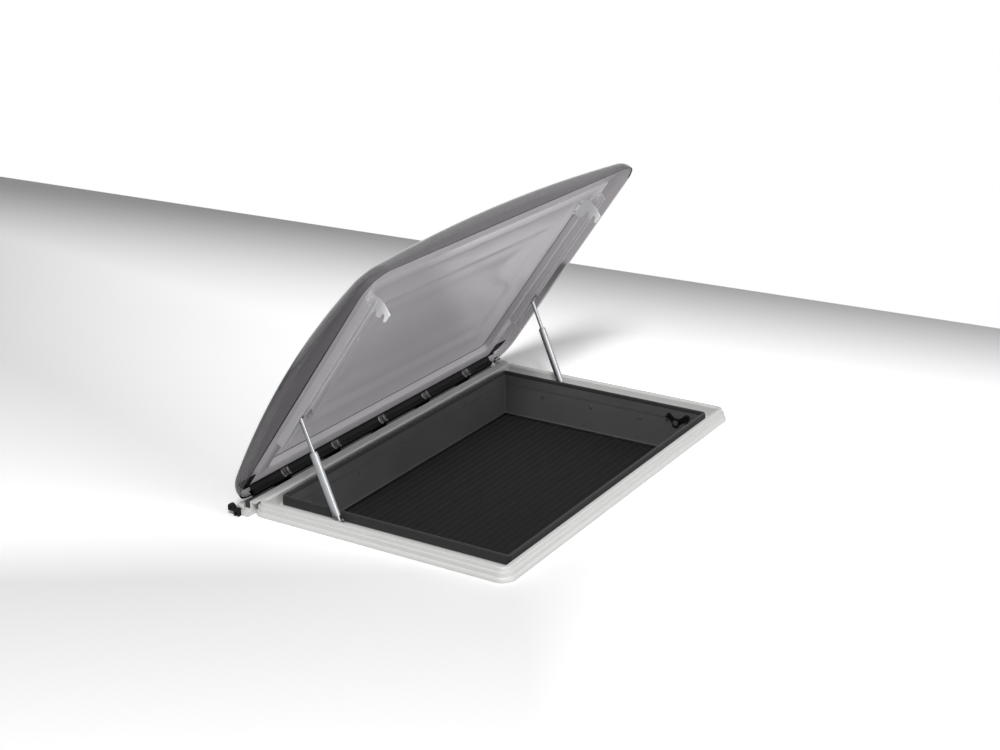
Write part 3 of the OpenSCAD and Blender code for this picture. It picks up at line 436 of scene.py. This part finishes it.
def outline(half, t0, t1, radius, counts):
    """Points of a rounded rectangle in plan: four sides of counts[0] or counts[1] steps and four
    quarter circles of counts[2] steps, in one turn that never doubles a point."""
    nx, nt, nc = counts
    middle, ct, cx = (t0 + t1) / 2, (t1 - t0) / 2 - radius, half - radius
    sx, st = 1 - 2 * np.arange(nx) / nx, 1 - 2 * np.arange(nt) / nt
    w = np.pi / 2 * np.arange(nc) / nc
    co, si = radius * np.cos(w), radius * np.sin(w)
    parts = [(np.full(nt, half), middle - ct * st), (cx + co, middle + ct + si),
             (cx * sx, np.full(nx, t1)), (-cx - si, middle + ct + co),
             (np.full(nt, -half), middle + ct * st), (-cx - co, middle - ct - si),
             (-cx * sx, np.full(nx, t0)), (cx + si, middle - ct - co)]
    return np.concatenate([np.stack(p, -1) for p in parts])


def shell(name, rings, first, last):
    """A closed skin on the lid: faces between rings of equal count, in their order, and a fan of
    triangles from one point at each end."""
    n, m = len(rings[0]), len(rings)
    i = np.arange(n)
    j = (i + 1) % n
    start = np.stack([np.zeros(n, int), 1 + j, 1 + i], -1)
    low = 1 + np.arange(m - 1)[:, None] * n
    walls = np.stack([low + i, low + j, low + n + j, low + n + i], -1).reshape(-1, 4)
    end = np.stack([1 + (m - 1) * n + i, 1 + (m - 1) * n + j, np.full(n, 1 + m * n)], -1)
    faces = start.tolist() + walls.tolist() + end.tolist()
    return surface(name, on_lid(np.concatenate([[first], *rings, [last]])), faces, 38)


# Distances of the rings inside the lip, closest together where the wall curves most
DEEPEST = 330
insets = np.concatenate([[0.02, 0.3, 0.8, 1.6, 2.8, 4.4, 6.4, 9, 12, 15.5, 19.5, 24, 29, 34],
                         np.linspace(46, DEEPEST, 22)])


def dome_ring(inset, wall):
    """One ring of the dome at a distance inside the lip, on its outer face or wall millimetres in.
    Its corners tighten with the distance, down to 8 mm."""
    plan = outline(DOME_A - inset, DOME_T0 + inset, DOME_T1 - inset, max(8, DOME_R - inset),
                   (64, 44, 14))
    return np.column_stack([plan, dome_height(plan[:, 0], plan[:, 1], wall)])


lip = dome_ring(insets[0], 0)
lip[:, 2] = -LIP
outer_rings = [dome_ring(inset, 0) for inset in insets[::-1]]
inner_rings = [dome_ring(DOME_WALL + inset, DOME_WALL) for inset in insets]
centre = (DOME_T0 + DOME_T1) / 2
top, bottom = (float(dome_height(0.0, centre, wall)) for wall in (0, DOME_WALL))
tinted_dome = shell("tinted_dome", [*outer_rings, lip, *inner_rings], (0, centre, top),
                    (0, centre, bottom))


def acrylic(name, tint, density, rough, wave, body=(1, 1, 1, 1), clear=1.0, ior=1.49):
    """Clear plastic: a refracting surface with a very slight long ripple from forming and faint rub
    marks in its roughness, and a volume that takes light away with the distance through it. Clear is
    the share of the light that passes, and the rest meets a milky body."""
    made, skin = material(name, Base_Color=body, IOR=ior, Transmission_Weight=clear)
    place = add(made, "ShaderNodeTexCoord", {}).outputs["Object"]
    ripple = add(made, "ShaderNodeTexNoise", {"Vector": place, "Scale": 7, "Detail": 1})
    bump = add(made, "ShaderNodeBump", {"Height": ripple.outputs[0], "Strength": 0.5, "Distance": wave})
    rubs = add(made, "ShaderNodeTexNoise",
               {"Vector": place, "Scale": 45, "Detail": 5, "Distortion": 2.5})
    gloss = add(made, "ShaderNodeMapRange",
                {"Value": rubs.outputs[0], "From Min": 0.45, "From Max": 0.8,
                 "To Min": rough, "To Max": rough + 0.06})
    give(skin, {"Normal": bump.outputs[0], "Roughness": gloss.outputs[0]})
    dye = add(made, "ShaderNodeVolumeAbsorption", {"Color": rgb(tint), "Density": density})
    give(made.node_tree.nodes["Material Output"], {"Volume": dye.outputs[0]})
    return made, skin, gloss


smoke_acrylic, skin, gloss = acrylic("smoke_tinted_acrylic", "#807a80", 160, 0.03, 0.0012)
# The drawn wall is a little matt from its former. Its colour is darker, in full from 12 mm inside the
# lip
# on: painted shade that stands in for the dark look of the wall.
ring_insets = np.concatenate([insets[::-1], [0], insets])
inside_lip = tinted_dome.data.attributes.new("inside_lip", "FLOAT", "POINT")
inside_lip.data.foreach_set("value", np.concatenate([[DEEPEST], np.repeat(ring_insets, len(lip)),
                                                     [DEEPEST]]))
inside = add(smoke_acrylic, "ShaderNodeAttribute", {"attribute_name": "inside_lip"}).outputs["Fac"]
wall = add(smoke_acrylic, "ShaderNodeMapRange",
           {"Value": inside, "From Min": REACH, "From Max": 12, "interpolation_type": "SMOOTHSTEP"})
# Painted shade: white colour in the middle, grey on the wall near the lip
tone = add(smoke_acrylic, "ShaderNodeMix",
           {"data_type": "RGBA", 0: wall.outputs[0], 6: rgb("#ffffff"), 7: rgb("#c4c1c4")})
matt = add(smoke_acrylic, "ShaderNodeMath",
           {"operation": "MULTIPLY_ADD", 0: wall.outputs[0], 1: 0.04, 2: gloss.outputs[0]})
give(skin, {"Base Color": tone.outputs[2], "Roughness": matt.outputs[0]})
tinted_dome.data.materials.append(smoke_acrylic)
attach(tinted_dome, "lid")
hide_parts("outer_dome")

# Inner pane
# A lighter acrylic sheet, 3 mm thick, welded inside the dome's lip. It steps up from its rim to a flat
# field, and an embossed rectangle in the middle stiffens it. It is satin and slightly milky.
PANE_A, PANE_T0, PANE_T1, PANE_WALL = 502.0, 30.0, 696.0, 3.0
# Heights of the undersides of rim and field above the hinge axis, and widths of rim and step
PANE_N, FIELD_N, RIM, STEP = 13.0, 28.0, 38.0, 8.0
# Insets where the embossed step starts and ends and where the middle is reached, and the two heights
EMBOSS_OUT, EMBOSS_IN, MIDDLE_IN = 122, 166, 250
EMBOSS_RISE, MIDDLE_RISE = 8, 16
# Corner radii, from the step inwards and then at the sheet's edge
STEP_R, EMBOSS_R, MIDDLE_R, EDGE_R = 16, 38, 20, 10
# Thickness of the weld between the pane's edge and the dome above it
WELD = 0.9
# How much further out the top face's rings lie than those below, so that slopes keep their thickness
RIM_SHIFT, FIELD_SHIFT = 0.9, 2


def pane_ring(inset, height, radius):
    """One ring of the pane at a distance inside its edge. Height None means just under the dome."""
    plan = outline(PANE_A - inset, PANE_T0 + inset, PANE_T1 - inset, radius, (48, 36, 10))
    if height is None:
        height = dome_height(plan[:, 0], plan[:, 1], DOME_WALL) - WELD
    return np.column_stack([plan, np.broadcast_to(height, len(plan))])


def s_curve(first, last, low, high, radii, count=9):
    """Inset, height and corner radius of rings that climb from low to high between two insets, along
    half a cosine."""
    s = np.linspace(0, 1, count)
    rise = (1 - np.cos(np.pi * s)) / 2
    return [(first + (last - first) * a, low + (high - low) * r, radii[0] + (radii[1] - radii[0]) * a)
            for a, r in zip(s, rise)]


under = [*s_curve(RIM, RIM + STEP, PANE_N, FIELD_N, (STEP_R, STEP_R)),
         *s_curve(EMBOSS_OUT, EMBOSS_IN, FIELD_N, FIELD_N + EMBOSS_RISE, (EMBOSS_R, EMBOSS_R)),
         *s_curve(EMBOSS_IN + 2, MIDDLE_IN, FIELD_N + EMBOSS_RISE + 0.1, FIELD_N + MIDDLE_RISE - 1,
                  (EMBOSS_R, MIDDLE_R), 6)]
over = [(inset - (RIM_SHIFT if inset <= RIM + STEP else FIELD_SHIFT), height + PANE_WALL, radius)
        for inset, height, radius in under[::-1]]
border = [(PANE_WALL, PANE_N + PANE_WALL, EDGE_R - 2), (PANE_WALL, None, EDGE_R - 2),
          (0, None, EDGE_R), (0, PANE_N, EDGE_R)]
centre = (PANE_T0 + PANE_T1) / 2
inner_pane = shell("stepped_pane", [pane_ring(*ring) for ring in over + border + under],
                   (0, centre, FIELD_N + PANE_WALL + MIDDLE_RISE), (0, centre, FIELD_N + MIDDLE_RISE))
clear_acrylic, *_ = acrylic("clear_cast_acrylic", "#dedbdf", 30, 0.16, 0.0012,
                            body=rgb("#faf7fb"), clear=0.34, ior=1.42)
inner_pane.data.materials.append(clear_acrylic)
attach(inner_pane, "lid")
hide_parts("inner_pane")

# Pane clips
# Clear polycarbonate hooks that hold the pane's edge in the hinge profile. They are a little matt, so
# they show as pale ribs on the black.
polycarbonate, *_ = acrylic("clear_polycarbonate", "#dfe3e4", 40, 0.28, 0.0001, ior=1.35)
dress(polycarbonate, "pane_clips")

# Side rails
# Extruded pale grey PVC, one channel at each end of the lid: satin, with a fine even grain. Its colour
# is drawn near white, lighter than the grey PVC, as painted light on the rails' shaded underside. The
# rail's catch is a small moulding of darker acetal.
grey_pvc_painted_lighter = moulded("grey_pvc_painted_lighter", "#f0eef2", "#e4e2e6", 0.0016, 0.00005, 0.4, 0.0006)
dress(grey_pvc_painted_lighter, "side_rail_left", "side_rail_right")
grey_acetal = moulded("grey_acetal", "#a3a1a5", "#939195", 0.0009, 0.00004, 0.35, 0.0003)
dress(grey_acetal, "rail_catches")

# Claws
# White hooked plates of the latches, screwed to the pane's field, moulded of a smoother ASA than the
# frame's. Their colour is drawn whiter than the frame's as painted light, so that they stand out
# against the pane.
claw_asa_painted_lighter = moulded("white_asa_painted_lighter", "#fbfbfb", "#f4f4f5", 0.0009, 0.00003, 0.32, 0.0006)
dress(claw_asa_painted_lighter, "claw_left", "claw_right")
